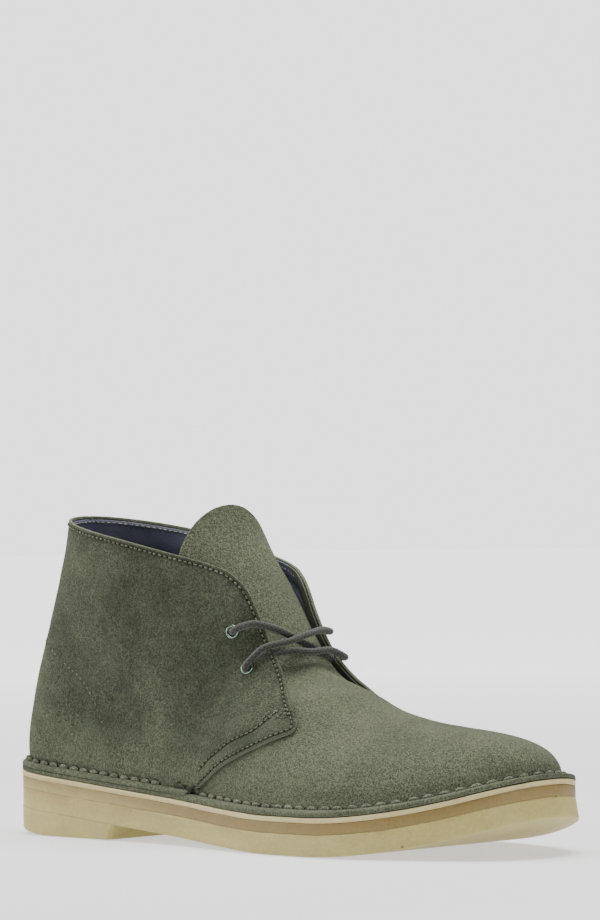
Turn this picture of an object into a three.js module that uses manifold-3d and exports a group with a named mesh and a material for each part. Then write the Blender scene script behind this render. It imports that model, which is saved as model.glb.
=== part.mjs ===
// A suede chukka boot on a crepe sole: a right boot, about UK 8, standing empty on its sole.
// Millimetres. +X points to the toe, +Y to the inner (medial) side, +Z up.
// The origin is on the floor under the middle of the heel. Lengths below run from the back of the outsole.
import * as THREE from "three";
import { mergeVertices } from "three/addons/utils/BufferGeometryUtils.js";
import Module from "manifold-3d";

const wasm = await Module();
wasm.setup();

// Main sizes
const LENGTH = 301; // outsole, heel to toe
const BALL_WIDTH = 107; // outsole at the ball
const HEEL_WIDTH = 76; // outsole at the heel
const COLLAR_HEIGHT = 144; // back of the collar above the floor
const INSTEP_HEIGHT = 80; // ridge of the instep above the floor, at the throat
const TOE_HEIGHT = 52.5; // top of the toe box above the floor
const HEEL_SEAT_HEIGHT = 30; // top of the midsole above the floor, at the back
const TOE_SPRING = 16; // lift of the outsole's tip

// Thicknesses and clearances
const GAP = 0.3; // between pieces that touch
const SUEDE = 1.8; // wall of the vamp and its turned-out flange
const QUARTER_STEP = 1.6; // the quarters stand this far proud of the vamp
const FLANGE = 5.5; // width of the turned-out edge beyond the wall
const MIDSOLE = 2.2;
const CREPE_MIDDLE = 4.6;
const OUTSOLE = 8.8;
const INSOLE = 3.0;
const INSOLE_CLEAR = 0.8; // between the insole's edge and the wall
const TONGUE = 1.8;
const HEEL_BREAST = 78; // front face of the heel, from the back of the boot
const HEEL_BEVEL = 4.5; // the heel's back edge clears the floor by this
const BEVEL_LENGTH = 31;
const BREAST_SLANT = 4; // the heel's front face leans back by this from top to bottom

// Eyelets and lace
const EYELET_RADIUS = 2.9;
const EYELET_BORE = 1.9;
const EYELET_LIP = 0.5;
const EYELET_SEAT = 0.7; // from the wall's face to the lip, which the wall's curve narrows
const BARREL_WALL = 0.3;
const LACE_RADIUS = 1.5;
const LACE_CLEAR = 0.5; // between the lace and the face under it
const LACE_ARCH = 2.2; // the lace stands this much further off where it crosses an edge

// How finely the curved forms are cut
const AROUND = 36; // steps from toe to heel on each side
const UP = 9; // steps from the sole to the top

// The form of the last, as ribs that rise from the sole's edge to the ridge of the vamp or to the collar.
// Each rib is a cubic curve through four places: foot, shoulder, handle and top.
// Lengths along (x) are shares of LENGTH, widths (y) of half the width named, heights (z) of the height.
// mid is the middle of the section and half its half width.
const RIB_COLUMNS = ["width", "height", "footX", "footMid", "footHalf", "rise", "bulge", "lean",
  "topX", "topZ", "topMid", "topHalf", "handleX", "handleHalf", "handleDrop"];
const [B, H] = [BALL_WIDTH, HEEL_WIDTH];
const [T, I, C] = [TOE_HEIGHT, INSTEP_HEIGHT, COLLAR_HEIGHT];
const RIBS = [
  // toe tip
  [B, T, 0.982, 0.093, 0, 0.32, 0, 0.005, 0.817, 0.99, 0.075, 0, 0.113, 0, 0.04],
  // toe corner
  [B, T, 0.957, 0.065, 0.402, 0.33, 0.028, 0.004, 0.81, 1.0, 0.07, 0, 0.09, 0.215, 0.03],
  // toe side
  [B, T, 0.893, 0.051, 0.626, 0.35, 0.037, 0.002, 0.787, 1.015, 0.065, 0, 0.045, 0.365, 0.015],
  // little toe
  [B, T, 0.8, 0.019, 0.832, 0.38, 0.028, 0, 0.737, 1.06, 0.06, 0, 0.013, 0.467, 0.006],
  // ball
  [B, I, 0.683, 0, 0.897, 0.262, 0.01, 0, 0.663, 0.781, 0.05, 0, 0, 0.505, 0],
  // front of the waist
  [B, I, 0.55, -0.056, 0.766, 0.337, 0.01, 0, 0.58, 0.988, 0.045, 0, 0, 0.486, 0.0125],
  // waist
  [B, I, 0.417, -0.061, 0.603, 0.412, 0.02, 0, 0.49, 1.388, 0.04, 0.3, 0.007, 0.15, 0.4],
  // front of the heel
  [H, C, 0.283, -0.042, 0.82, 0.208, 0.03, 0, 0.39, 0.865, 0.03, 0.69, 0, 0.11, 0.28],
  // heel
  [H, C, 0.15, 0, 0.826, 0.215, 0.05, 0, 0.267, 0.927, 0.01, 0.86, -0.02, -0.03, 0.31],
  // heel corner
  [H, C, 0.045, 0, 0.66, 0.215, 0.05, -0.018, 0.14, 0.979, 0, 0.653, -0.027, 0, 0.33],
  // heel back
  [H, C, 0.0183, 0, 0, 0.215, 0, -0.024, 0.087, 1.0, 0, 0, -0.028, 0, 0.335],
];
const LENGTHS = ["footX", "lean", "topX", "handleX"];
const WIDTHS = ["footMid", "footHalf", "bulge", "topMid", "topHalf", "handleHalf"];
const HEIGHTS = ["rise", "topZ", "handleDrop"];

// A column of the table in millimetres
function column(name) {
  const at = RIB_COLUMNS.indexOf(name);
  return RIBS.map((row) => {
    if (LENGTHS.includes(name)) return row[at] * LENGTH;
    if (WIDTHS.includes(name)) return (row[at] * row[0]) / 2;
    return row[at] * row[1];
  });
}

// A smooth curve through values at knots. An even curve is level at both ends, an odd one bends at neither.
function spline(knots, values, even) {
  const n = knots.length - 1;
  const bend = Array(n + 1).fill(0);
  const step = (i) => knots[i + 1] - knots[i];
  const slope = (i) => (values[i + 1] - values[i]) / step(i);
  for (let sweep = 0; sweep < 80; sweep++) {
    if (even) {
      bend[0] = ((6 * slope(0)) / step(0) - bend[1]) / 2;
      bend[n] = ((-6 * slope(n - 1)) / step(n - 1) - bend[n - 1]) / 2;
    }
    for (let i = 1; i < n; i++) {
      const push = 6 * (slope(i) - slope(i - 1)) - step(i - 1) * bend[i - 1] - step(i) * bend[i + 1];
      bend[i] = push / (2 * (step(i - 1) + step(i)));
    }
  }
  return (t) => {
    let i = 0;
    while (i < n - 1 && t > knots[i + 1]) i++;
    const h = step(i);
    const b = (t - knots[i]) / h;
    const a = 1 - b;
    const cubic = ((a ** 3 - a) * bend[i] + (b ** 3 - b) * bend[i + 1]) * (h * h) / 6;
    return a * values[i] + b * values[i + 1] + cubic;
  };
}

const footX = column("footX");
const footHalf = column("footHalf");
const KNOTS = footX.map((x, i) => [x, footHalf[i]]).reduce((knots, point, i, all) => {
  const before = all[i - 1];
  const chord = i ? Math.hypot(point[0] - before[0], point[1] - before[1]) : 0;
  return [...knots, (knots[i - 1] ?? 0) + chord];
}, []);
const GIRTH = KNOTS[KNOTS.length - 1];
const RIDGE_END = 5; // the ribs up to this one meet in the ridge of the vamp
const ODD = ["footHalf", "bulge", "topHalf", "handleHalf"];
const curves = Object.fromEntries(RIB_COLUMNS.slice(2).map((name) =>
  [name, spline(KNOTS, column(name), !ODD.includes(name))]));
const opening = (s) => (s * GIRTH <= KNOTS[RIDGE_END] ? 0 : Math.max(0, curves.topHalf(s * GIRTH)));

// Height of the sole along the boot: the heel's pitch fades to the flat under the ball, the toe springs up
const STACK = MIDSOLE + CREPE_MIDDLE + OUTSOLE + 2 * GAP;
const PITCH_END = 0.62 * LENGTH;
const SPRING_START = 0.7 * LENGTH;
function soleTop(x) {
  const heelward = Math.min(1, Math.max(0, 1 - x / PITCH_END));
  const toeward = Math.max(0, x - SPRING_START) / (LENGTH - SPRING_START);
  return STACK + (HEEL_SEAT_HEIGHT - STACK) * heelward ** 1.25 + TOE_SPRING * toeward ** 2;
}

// A point of the last: s runs from the toe, 0, to the heel, 1; v from the sole, 0, to the top, 1.
// side is -1 for the outer side and 1 for the inner side.
function last(s, side, v) {
  const t = s * GIRTH;
  const c = (name) => curves[name](t);
  const topHalf = opening(s);
  const foot = new THREE.Vector3(c("footX"), c("footMid") + side * c("footHalf"), soleTop(c("footX")) + GAP);
  const shoulder = new THREE.Vector3(c("footX") + c("lean"),
    c("footMid") + side * (c("footHalf") + c("bulge")), foot.z + c("rise"));
  const top = new THREE.Vector3(c("topX"), c("topMid") + side * topHalf, c("topZ"));
  const handle = new THREE.Vector3(top.x + c("handleX"),
    top.y + side * c("handleHalf"), top.z - c("handleDrop"));
  const w = 1 - v;
  return foot.multiplyScalar(w ** 3).addScaledVector(shoulder, 3 * w * w * v)
    .addScaledVector(handle, 3 * w * v * v).addScaledVector(top, v ** 3);
}

// The outward normal there, the same from both sides where they meet
function sideNormal(s, side, v) {
  const e = 0.004;
  const sc = Math.min(1 - 2 * e, Math.max(2 * e, s));
  const vc = Math.min(1 - 3 * e, v);
  const ds = last(sc + e, side, vc).sub(last(sc - e, side, vc));
  const dv = last(sc, side, vc + e).sub(last(sc, side, Math.max(0, vc - e)));
  return new THREE.Vector3().crossVectors(ds, dv).multiplyScalar(side).normalize();
}
function normal(s, side, v) {
  const n = sideNormal(s, side, v);
  const onMiddle = s === 0 || s === 1 || (v === 1 && opening(s) === 0);
  if (onMiddle) {
    n.add(sideNormal(s, -side, v));
    n.y = 0;
  }
  if (v === 0) n.z = 0;
  return n.normalize();
}
const offset = (s, side, v, distance) => last(s, side, v).addScaledVector(normal(s, side, v), distance);

// A closed solid from triangles of points
function solidOf(triangles) {
  const soup = new THREE.BufferGeometry().setFromPoints(triangles.flat());
  const merged = mergeVertices(soup, 1e-4);
  const index = merged.index.array;
  const kept = [];
  for (let i = 0; i < index.length; i += 3) {
    const [a, b, c] = [index[i], index[i + 1], index[i + 2]];
    if (a !== b && b !== c && c !== a) kept.push(a, b, c);
  }
  return new wasm.Manifold(new wasm.Mesh({
    numProp: 3, vertProperties: merged.attributes.position.array, triVerts: new Uint32Array(kept),
  }));
}
function manifoldOf(geometry) {
  const flat = geometry.index ? geometry.toNonIndexed() : geometry;
  const p = flat.getAttribute("position");
  const points = Array.from({ length: p.count }, (_, i) => new THREE.Vector3().fromBufferAttribute(p, i));
  return solidOf(points.reduce((all, point, i) => {
    if (i % 3 === 0) all.push([]);
    all[all.length - 1].push(point);
    return all;
  }, []));
}

// A closed solid from rings that run round the boot, bottom ring first, capped straight across
function ringSolid(rings) {
  const triangles = [];
  const quad = (a, b, c, d) => triangles.push([a, b, c], [a, c, d]);
  const n = AROUND;
  for (let k = 0; k + 1 < rings.length; k++) {
    for (const side of [-1, 1]) {
      for (let i = 0; i < n; i++) {
        const [a, b, c, d] = [rings[k][side][i], rings[k][side][i + 1],
          rings[k + 1][side][i + 1], rings[k + 1][side][i]];
        if (side < 0) quad(b, a, d, c);
        else quad(a, b, c, d);
      }
    }
  }
  const low = rings[0], high = rings[rings.length - 1];
  for (let i = 0; i < n; i++) {
    quad(low[-1][i], low[-1][i + 1], low[1][i + 1], low[1][i]);
    quad(high[1][i], high[1][i + 1], high[-1][i + 1], high[-1][i]);
  }
  return solidOf(triangles);
}
const ring = (point) => Object.fromEntries([-1, 1].map((side) =>
  [side, Array.from({ length: AROUND + 1 }, (_, i) => point(i / AROUND, side))]));

// The last swollen by a distance, its foot lowered and its open top raised, fading in from the ridge's end
const LIFT_WIDTH = 8;
function form(distance, drop = 0, lift = 0) {
  const rings = [];
  const moved = (s, side, v) => offset(s, side, v, distance);
  if (drop) rings.push(ring((s, side) => moved(s, side, 0).add(new THREE.Vector3(0, 0, -drop))));
  for (let j = 0; j <= UP; j++) rings.push(ring((s, side) => moved(s, side, j / UP)));
  const open = (s) => Math.min(1, opening(s) / LIFT_WIDTH);
  if (lift) rings.push(ring((s, side) => moved(s, side, 1).add(new THREE.Vector3(0, 0, lift * open(s)))));
  return ringSolid(rings);
}

// A layer that follows the sole's outline, grown by a distance, between two heights along the boot
function layer(grow, low, high) {
  const outline = (height) => ring((s, side) => {
    const p = offset(s, side, 0, grow);
    return p.setZ(height(p.x));
  });
  return ringSolid([outline(low), outline(high)]);
}

// A prism seen from the side: a closed outline in x and z, wide enough to cut through the boot
function sidePrism(shape) {
  const wide = 2 * BALL_WIDTH;
  const geometry = new THREE.ExtrudeGeometry(shape, { depth: wide, bevelEnabled: false, curveSegments: 12 });
  geometry.rotateX(Math.PI / 2).translate(0, wide / 2, 0);
  return manifoldOf(geometry);
}

const CUT_PAST = 8; // a cutting solid runs this far past what it cuts
const flangeLow = (x) => soleTop(x) + GAP;
const flangeTop = (x) => flangeLow(x) + SUEDE;
const at = (x, z) => new THREE.Vector2(x * LENGTH, z * COLLAR_HEIGHT);

// The facing edge of the quarters, seen from the side, as shares of LENGTH and COLLAR_HEIGHT
const FACING = [at(0.49, 0.745), at(0.528, 0.602), at(0.585, 0.462), at(0.62, 0.395)];
const CORNER = [at(0.47, 0.822), at(0.425, 0.85)]; // the rounded corner at the collar
const NOSE = at(0.637, 0.362); // the corner where the facing meets the seam
const SEAM = [at(0.628, 0.351), at(0.59, 0.322), at(0.543, 0.282), at(0.49, 0.232), at(0.43, 0.146)];
const ABOVE = at(0.42, 1.3);
const BELOW = at(0.41, -0.2);
const BEHIND = -0.2 * LENGTH;

function quarterZone() {
  const s = new THREE.Shape();
  s.moveTo(BEHIND, ABOVE.y);
  s.lineTo(BEHIND, BELOW.y);
  s.lineTo(BELOW.x, BELOW.y);
  s.lineTo(SEAM[4].x, SEAM[4].y);
  s.splineThru(SEAM.slice(0, 4).reverse());
  s.quadraticCurveTo(NOSE.x, NOSE.y, FACING[3].x, FACING[3].y);
  for (const p of FACING.slice(0, 3).reverse()) s.lineTo(p.x, p.y);
  s.quadraticCurveTo(CORNER[0].x, CORNER[0].y, CORNER[1].x, CORNER[1].y);
  s.lineTo(ABOVE.x, ABOVE.y);
  return sidePrism(s);
}

// What is open in front of the facing edges, down to the throat
function throatZone() {
  const s = new THREE.Shape();
  s.moveTo(FACING[2].x, FACING[2].y);
  s.lineTo(0.575 * LENGTH, 0.66 * COLLAR_HEIGHT);
  s.lineTo(0.6 * LENGTH, ABOVE.y);
  s.lineTo(ABOVE.x, ABOVE.y);
  s.lineTo(CORNER[1].x, CORNER[1].y);
  s.quadraticCurveTo(CORNER[0].x, CORNER[0].y, FACING[0].x, FACING[0].y);
  s.lineTo(FACING[1].x, FACING[1].y);
  return sidePrism(s);
}

// The point of a quarter's outer face that the side view shows at x and z, and the normal there
function onQuarter(x, z, side) {
  let [s, v] = [0.55, 0.6];
  const face = (a, b) => offset(a, side, b, QUARTER_STEP);
  const e = 1e-3;
  for (let k = 0; k < 30; k++) {
    const p = face(s, v);
    const ps = face(s + e, v).sub(p).divideScalar(e);
    const pv = face(s, v + e).sub(p).divideScalar(e);
    const det = ps.x * pv.z - ps.z * pv.x;
    const [dx, dz] = [x - p.x, z - p.z];
    s = Math.min(0.99, Math.max(0.01, s + 0.7 * (dx * pv.z - dz * pv.x) / det));
    v = Math.min(0.99, Math.max(0.01, v + 0.7 * (ps.x * dz - ps.z * dx) / det));
  }
  return { point: face(s, v), normal: normal(s, side, v) };
}

const WALL = SUEDE + QUARTER_STEP;
const EYELETS = { upper: at(0.47, 0.642), lower: at(0.504, 0.535) };
const SIDES = { outer: -1, inner: 1 };

// A shape turned about the normal of a quarter, its height measured outwards from the face
function turned(profile, place, segments) {
  const points = profile.map(([r, h]) => new THREE.Vector2(r, h));
  const geometry = new THREE.LatheGeometry([...points, points[0]], segments);
  const upright = new THREE.Vector3(0, 1, 0);
  geometry.applyQuaternion(new THREE.Quaternion().setFromUnitVectors(upright, place.normal));
  geometry.translate(...place.point);
  return manifoldOf(geometry);
}
function eyeletHole(place) {
  const r = EYELET_BORE + BARREL_WALL + GAP;
  return turned([[0, -3 * WALL], [r, -3 * WALL], [r, 2 * WALL], [0, 2 * WALL]], place, 16);
}
function eyelet(place) {
  const barrel = EYELET_BORE + BARREL_WALL;
  const [inner, outer] = [-WALL - EYELET_SEAT, EYELET_SEAT];
  return turned([
    [EYELET_BORE, inner - EYELET_LIP], [EYELET_RADIUS, inner - EYELET_LIP], [EYELET_RADIUS, inner],
    [barrel, inner], [barrel, outer], [EYELET_RADIUS, outer], [EYELET_RADIUS, outer + EYELET_LIP],
    [EYELET_BORE, outer + EYELET_LIP],
  ], place, 16);
}
const places = Object.entries(EYELETS).flatMap(([level, p]) => Object.entries(SIDES).map(([name, side]) =>
  ({ name: `eyelet_${name}_${level}`, ...onQuarter(p.x, p.y, side) })));

function upper() {
  const inside = form(-SUEDE, CUT_PAST, CUT_PAST);
  const vampFlange = layer(FLANGE, flangeLow, flangeTop);
  const vamp = form(0).add(vampFlange).subtract(throatZone());
  const quarterFlange = layer(FLANGE, flangeLow, (x) => flangeTop(x) + QUARTER_STEP);
  const quarters = form(QUARTER_STEP).add(quarterFlange).intersect(quarterZone());
  let made = vamp.add(quarters).subtract(inside);
  for (const place of places) made = made.subtract(eyeletHole(place));
  return made;
}

// The tongue: its middle line in x and z, its half width and the radius that it is crowned to,
// as shares of LENGTH, COLLAR_HEIGHT and half of BALL_WIDTH
const TONGUE_ROWS = [
  [0.623, 0.461, 0.26, 0.41],
  [0.583, 0.518, 0.33, 0.43],
  [0.54, 0.583, 0.36, 0.45],
  [0.502, 0.652, 0.37, 0.45],
  [0.447, 0.806, 0.38, 0.45],
  [0.411, 0.923, 0.42, 0.46],
  [0.401, 0.965, 0.38, 0.46],
  [0.394, 1.0, 0.26, 0.46],
  [0.391, 1.015, 0.1, 0.46],
];
const TONGUE_MID = 0.04;
const TONGUE_REACH = 60; // the space inside the collar goes on up this far for the tongue
const ACROSS = 10;
function tongue() {
  const line = new THREE.CatmullRomCurve3(TONGUE_ROWS.map(([x, z]) => {
    const p = at(x, z);
    return new THREE.Vector3(p.x, 0, p.y);
  }));
  const rows = [];
  const n = 2 * (TONGUE_ROWS.length - 1);
  const half = BALL_WIDTH / 2;
  for (let k = 0; k <= n; k++) {
    const t = k / n;
    const i = Math.min(TONGUE_ROWS.length - 2, Math.floor(k / 2));
    const mix = (c) => half * THREE.MathUtils.lerp(TONGUE_ROWS[i][c], TONGUE_ROWS[i + 1][c], k / 2 - i);
    const [width, crown] = [mix(2), mix(3)];
    const p = line.getPoint(t);
    const along = line.getTangent(t);
    const out = new THREE.Vector3(along.z, 0, -along.x);
    const row = (r) => Array.from({ length: ACROSS + 1 }, (_, j) => {
      const angle = Math.asin(width / crown) * ((2 * j) / ACROSS - 1);
      const q = p.clone().addScaledVector(out, r * Math.cos(angle) - crown);
      return q.setY(TONGUE_MID * half + r * Math.sin(angle));
    });
    rows.push([row(crown), row(crown - TONGUE)]);
  }
  const triangles = [];
  const quad = (a, b, c, d) => triangles.push([a, b, c], [a, c, d]);
  for (let k = 0; k < n; k++) {
    const [[o0, i0], [o1, i1]] = [rows[k], rows[k + 1]];
    for (let j = 0; j < ACROSS; j++) {
      quad(o0[j], o0[j + 1], o1[j + 1], o1[j]);
      quad(i0[j + 1], i0[j], i1[j], i1[j + 1]);
    }
    quad(i0[0], o0[0], o1[0], i1[0]);
    quad(o0[ACROSS], i0[ACROSS], i1[ACROSS], o1[ACROSS]);
  }
  for (let j = 0; j < ACROSS; j++) {
    quad(rows[0][0][j + 1], rows[0][0][j], rows[0][1][j], rows[0][1][j + 1]);
    quad(rows[n][0][j], rows[n][0][j + 1], rows[n][1][j + 1], rows[n][1][j]);
  }
  const clear = form(-SUEDE - EYELET_SEAT - EYELET_LIP - 2 * GAP, 0, TONGUE_REACH);
  return solidOf(triangles).intersect(clear);
}

// The lace: two strands that cross and a bar below them, laid over the facings
function strand(points) {
  const section = new THREE.Shape().absarc(0, 0, LACE_RADIUS, 0, 2 * Math.PI);
  const path = new THREE.CatmullRomCurve3(points);
  return manifoldOf(new THREE.ExtrudeGeometry(section,
    { steps: 22, curveSegments: 4, bevelEnabled: false, extrudePath: path }));
}
const CLEAR = LACE_RADIUS + LACE_CLEAR;
const EDGE_CLEAR = CLEAR + LACE_ARCH;
function onFacing(x, z, side, clear = CLEAR) {
  const p = at(x, z);
  const { point, normal } = onQuarter(p.x, p.y, side);
  return point.addScaledVector(normal, clear);
}
const overTongue = (x, z) => new THREE.Vector3(at(x, z).x, TONGUE_MID * BALL_WIDTH / 2, at(x, z).y);
function lace() {
  const raised = CLEAR + EYELET_LIP + GAP;
  const cross = strand([onFacing(0.47, 0.642, -1, raised), onFacing(0.5, 0.66, -1, EDGE_CLEAR),
    overTongue(0.548, 0.628), onFacing(0.54, 0.56, 1, EDGE_CLEAR)]);
  const over = strand([onFacing(0.504, 0.535, -1, raised), onFacing(0.524, 0.585, -1, EDGE_CLEAR),
    overTongue(0.548, 0.645), onFacing(0.5, 0.655, 1, EDGE_CLEAR), onFacing(0.47, 0.642, 1, raised)]);
  const bar = strand([onFacing(0.527, 0.58, -1, EDGE_CLEAR), overTongue(0.562, 0.585),
    onFacing(0.536, 0.553, 1, EDGE_CLEAR), onFacing(0.504, 0.535, 1, raised)]);
  return cross.add(over).add(bar);
}

// The insole lies inside the upper, on the midsole
function insole() {
  const low = (x) => soleTop(x) + GAP;
  return layer(-SUEDE - INSOLE_CLEAR, low, (x) => low(x) + INSOLE);
}
const soleLayer = (from, to) => layer(FLANGE, (x) => soleTop(x) - to, (x) => soleTop(x) - from);
function heel() {
  const bevel = (x) => HEEL_BEVEL * Math.max(0, 1 - x / BEVEL_LENGTH) ** 1.5;
  const block = layer(FLANGE, bevel, (x) => soleTop(x) - STACK - GAP);
  const s = new THREE.Shape();
  s.moveTo(BEHIND, 0);
  s.lineTo(HEEL_BREAST - BREAST_SLANT / 2, 0);
  s.lineTo(HEEL_BREAST + BREAST_SLANT / 2, HEEL_SEAT_HEIGHT);
  s.lineTo(BEHIND, HEEL_SEAT_HEIGHT);
  return block.intersect(sidePrism(s));
}

const group = new THREE.Group();
function add(name, solid, color, roughness, metalness = 0) {
  const mesh = solid.getMesh();
  const geometry = new THREE.BufferGeometry();
  geometry.setAttribute("position", new THREE.BufferAttribute(mesh.vertProperties, 3));
  geometry.setIndex(new THREE.BufferAttribute(mesh.triVerts, 1));
  const made = new THREE.Mesh(geometry, new THREE.MeshStandardMaterial({ color, roughness, metalness }));
  made.name = name;
  group.add(made);
}
add("upper", upper(), 0x5c5f50, 0.95);
add("tongue", tongue(), 0x5c5f50, 0.95);
add("insole", insole(), 0x3a3d45, 0.8);
add("midsole", soleLayer(0, MIDSOLE), 0xcdbf9a, 0.8);
add("crepe_middle", soleLayer(MIDSOLE + GAP, MIDSOLE + GAP + CREPE_MIDDLE), 0xa08a5c, 0.6);
add("outsole", soleLayer(STACK - OUTSOLE, STACK), 0xc9bd94, 0.6);
add("heel", heel(), 0xc2b78c, 0.6);
for (const place of places) add(place.name, eyelet(place), 0x1e3a2c, 0.3, 0.8);
add("lace", lace(), 0x3c3d33, 0.9);
group.position.x = -HEEL_BREAST / 2;
export default group;
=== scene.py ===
"""A suede chukka boot on a crepe sole: finish, seams, stitches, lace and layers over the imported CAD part.

Forms are worked out in millimetres, with lengths from the back of the outsole, +X to the toe,
+Y to the inner side and +Z up, then turned into metres in the row frame.
"""

import math

import bmesh
import bpy
import numpy as np
from mathutils import Matrix, Vector, kdtree

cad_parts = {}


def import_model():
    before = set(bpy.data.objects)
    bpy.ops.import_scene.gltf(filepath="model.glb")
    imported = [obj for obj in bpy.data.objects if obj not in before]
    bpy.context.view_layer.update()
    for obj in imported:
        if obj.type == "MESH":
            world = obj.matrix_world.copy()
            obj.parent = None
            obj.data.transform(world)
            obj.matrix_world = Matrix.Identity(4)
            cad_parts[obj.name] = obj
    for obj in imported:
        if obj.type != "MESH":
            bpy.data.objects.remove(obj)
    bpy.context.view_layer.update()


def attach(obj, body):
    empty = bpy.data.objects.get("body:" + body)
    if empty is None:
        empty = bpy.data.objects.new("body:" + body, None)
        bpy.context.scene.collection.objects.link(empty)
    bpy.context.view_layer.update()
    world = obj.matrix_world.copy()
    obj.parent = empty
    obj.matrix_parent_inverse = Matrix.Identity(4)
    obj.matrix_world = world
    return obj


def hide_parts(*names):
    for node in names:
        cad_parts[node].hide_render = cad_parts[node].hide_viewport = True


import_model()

# Main sizes, as in the part's source
LENGTH = 301.0
BALL_WIDTH = 107.0
HEEL_WIDTH = 76.0
COLLAR_HEIGHT = 144.0
INSTEP_HEIGHT = 80.0
TOE_HEIGHT = 52.5
HEEL_SEAT_HEIGHT = 30.0
TOE_SPRING = 16.0
HEEL_BREAST = 78.0
HEEL_BEVEL = 4.5
BEVEL_LENGTH = 31.0
BREAST_SLANT = 4.0

# Thicknesses and clearances
GAP = 0.3
SUEDE = 1.8
QUARTER_STEP = 1.6
FLANGE = 5.5
MIDSOLE = 2.2
CREPE_MIDDLE = 4.6
OUTSOLE = 8.8
INSOLE = 3.0
INSOLE_CLEAR = 0.8  # between the insole's edge and the wall
VAMP_SKIN = 1.4
QUARTER_SKIN = 1.45
LINING_SKIN = 1.6
LINING_EDGE = 0.8  # the lining thins to this at its edges

# Eyelets and lace
EYELET_RADIUS = 2.9
EYELET_BORE = 1.9
LACE_RADIUS = 1.6

# The form of the last, as in the part's source: ribs from the sole's edge to the ridge or the collar.
# Lengths along are shares of LENGTH, widths of half the width named, heights of the height named.
RIB_COLUMNS = ["footX", "footMid", "footHalf", "rise", "bulge", "lean",
               "topX", "topZ", "topMid", "topHalf", "handleX", "handleHalf", "handleDrop"]
B, H = BALL_WIDTH, HEEL_WIDTH
T, I, C = TOE_HEIGHT, INSTEP_HEIGHT, COLLAR_HEIGHT
RIBS = [
    [B, T, 0.982, 0.093, 0, 0.32, 0, 0.005, 0.817, 0.99, 0.075, 0, 0.113, 0, 0.04],
    [B, T, 0.957, 0.065, 0.402, 0.33, 0.028, 0.004, 0.81, 1.0, 0.07, 0, 0.09, 0.215, 0.03],
    [B, T, 0.893, 0.051, 0.626, 0.35, 0.037, 0.002, 0.787, 1.015, 0.065, 0, 0.045, 0.365, 0.015],
    [B, T, 0.8, 0.019, 0.832, 0.38, 0.028, 0, 0.737, 1.06, 0.06, 0, 0.013, 0.467, 0.006],
    [B, I, 0.683, 0, 0.897, 0.262, 0.01, 0, 0.663, 0.781, 0.05, 0, 0, 0.505, 0],
    [B, I, 0.55, -0.056, 0.766, 0.337, 0.01, 0, 0.58, 0.988, 0.045, 0, 0, 0.486, 0.0125],
    [B, I, 0.417, -0.061, 0.603, 0.412, 0.02, 0, 0.49, 1.388, 0.04, 0.3, 0.007, 0.15, 0.4],
    [H, C, 0.283, -0.042, 0.82, 0.208, 0.03, 0, 0.39, 0.865, 0.03, 0.69, 0, 0.11, 0.28],
    [H, C, 0.15, 0, 0.826, 0.215, 0.05, 0, 0.267, 0.927, 0.01, 0.86, -0.02, -0.03, 0.31],
    [H, C, 0.045, 0, 0.66, 0.215, 0.05, -0.018, 0.14, 0.979, 0, 0.653, -0.027, 0, 0.33],
    [H, C, 0.0183, 0, 0, 0.215, 0, -0.024, 0.087, 1.0, 0, 0, -0.028, 0, 0.335],
]
LENGTHS = ["footX", "lean", "topX", "handleX"]
WIDTHS = ["footMid", "footHalf", "bulge", "topMid", "topHalf", "handleHalf"]
ODD = ["footHalf", "bulge", "topHalf", "handleHalf"]
RIDGE_END = 5

# The quarters' front edge seen from the side, in shares of LENGTH and COLLAR_HEIGHT
FACING = [(0.49, 0.745), (0.528, 0.602), (0.585, 0.462), (0.62, 0.395)]
CORNER = [(0.47, 0.822), (0.425, 0.85)]
NOSE = (0.637, 0.362)
SEAM = [(0.628, 0.351), (0.59, 0.322), (0.543, 0.282), (0.49, 0.232), (0.43, 0.146)]
SECOND_ROW = [(0.588, 0.415), (0.56, 0.358), (0.516, 0.32), (0.493, 0.293), (0.469, 0.264), (0.446, 0.226)]
COUNTER = [(0.05, 0.625), (0.11, 0.579), (0.157, 0.527), (0.186, 0.489), (0.204, 0.447), (0.216, 0.414),
           (0.226, 0.375), (0.236, 0.337), (0.245, 0.293), (0.25, 0.25)]
EYELETS = {"upper": (0.47, 0.642), "lower": (0.504, 0.535)}
SIDES = {"outer": -1, "inner": 1}


# The surface of the last


def column(name):
    """A column of the table in millimetres."""
    at = RIB_COLUMNS.index(name) + 2
    if name in LENGTHS:
        return np.array([row[at] * LENGTH for row in RIBS])
    if name in WIDTHS:
        return np.array([row[at] * row[0] / 2 for row in RIBS])
    return np.array([row[at] * row[1] for row in RIBS])


def spline(knots, values, even):
    """A smooth curve through values at knots: level at both ends if even, else straight there."""
    n = len(knots)
    h = np.diff(knots)
    slope = np.diff(values) / h
    a = np.eye(n)
    b = np.zeros(n)
    if even:
        a[0, :2] = 2, 1
        b[0] = 6 * slope[0] / h[0]
        a[-1, -2:] = 1, 2
        b[-1] = -6 * slope[-1] / h[-1]
    for i in range(1, n - 1):
        a[i, i - 1:i + 2] = h[i - 1], 2 * (h[i - 1] + h[i]), h[i]
        b[i] = 6 * (slope[i] - slope[i - 1])
    bend = np.linalg.solve(a, b)

    def curve(t):
        i = np.clip(np.searchsorted(knots, t) - 1, 0, n - 2)
        d = h[i]
        q = (t - knots[i]) / d
        p = 1 - q
        cubic = ((p ** 3 - p) * bend[i] + (q ** 3 - q) * bend[i + 1]) * d * d / 6
        return p * values[i] + q * values[i + 1] + cubic
    return curve


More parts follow.
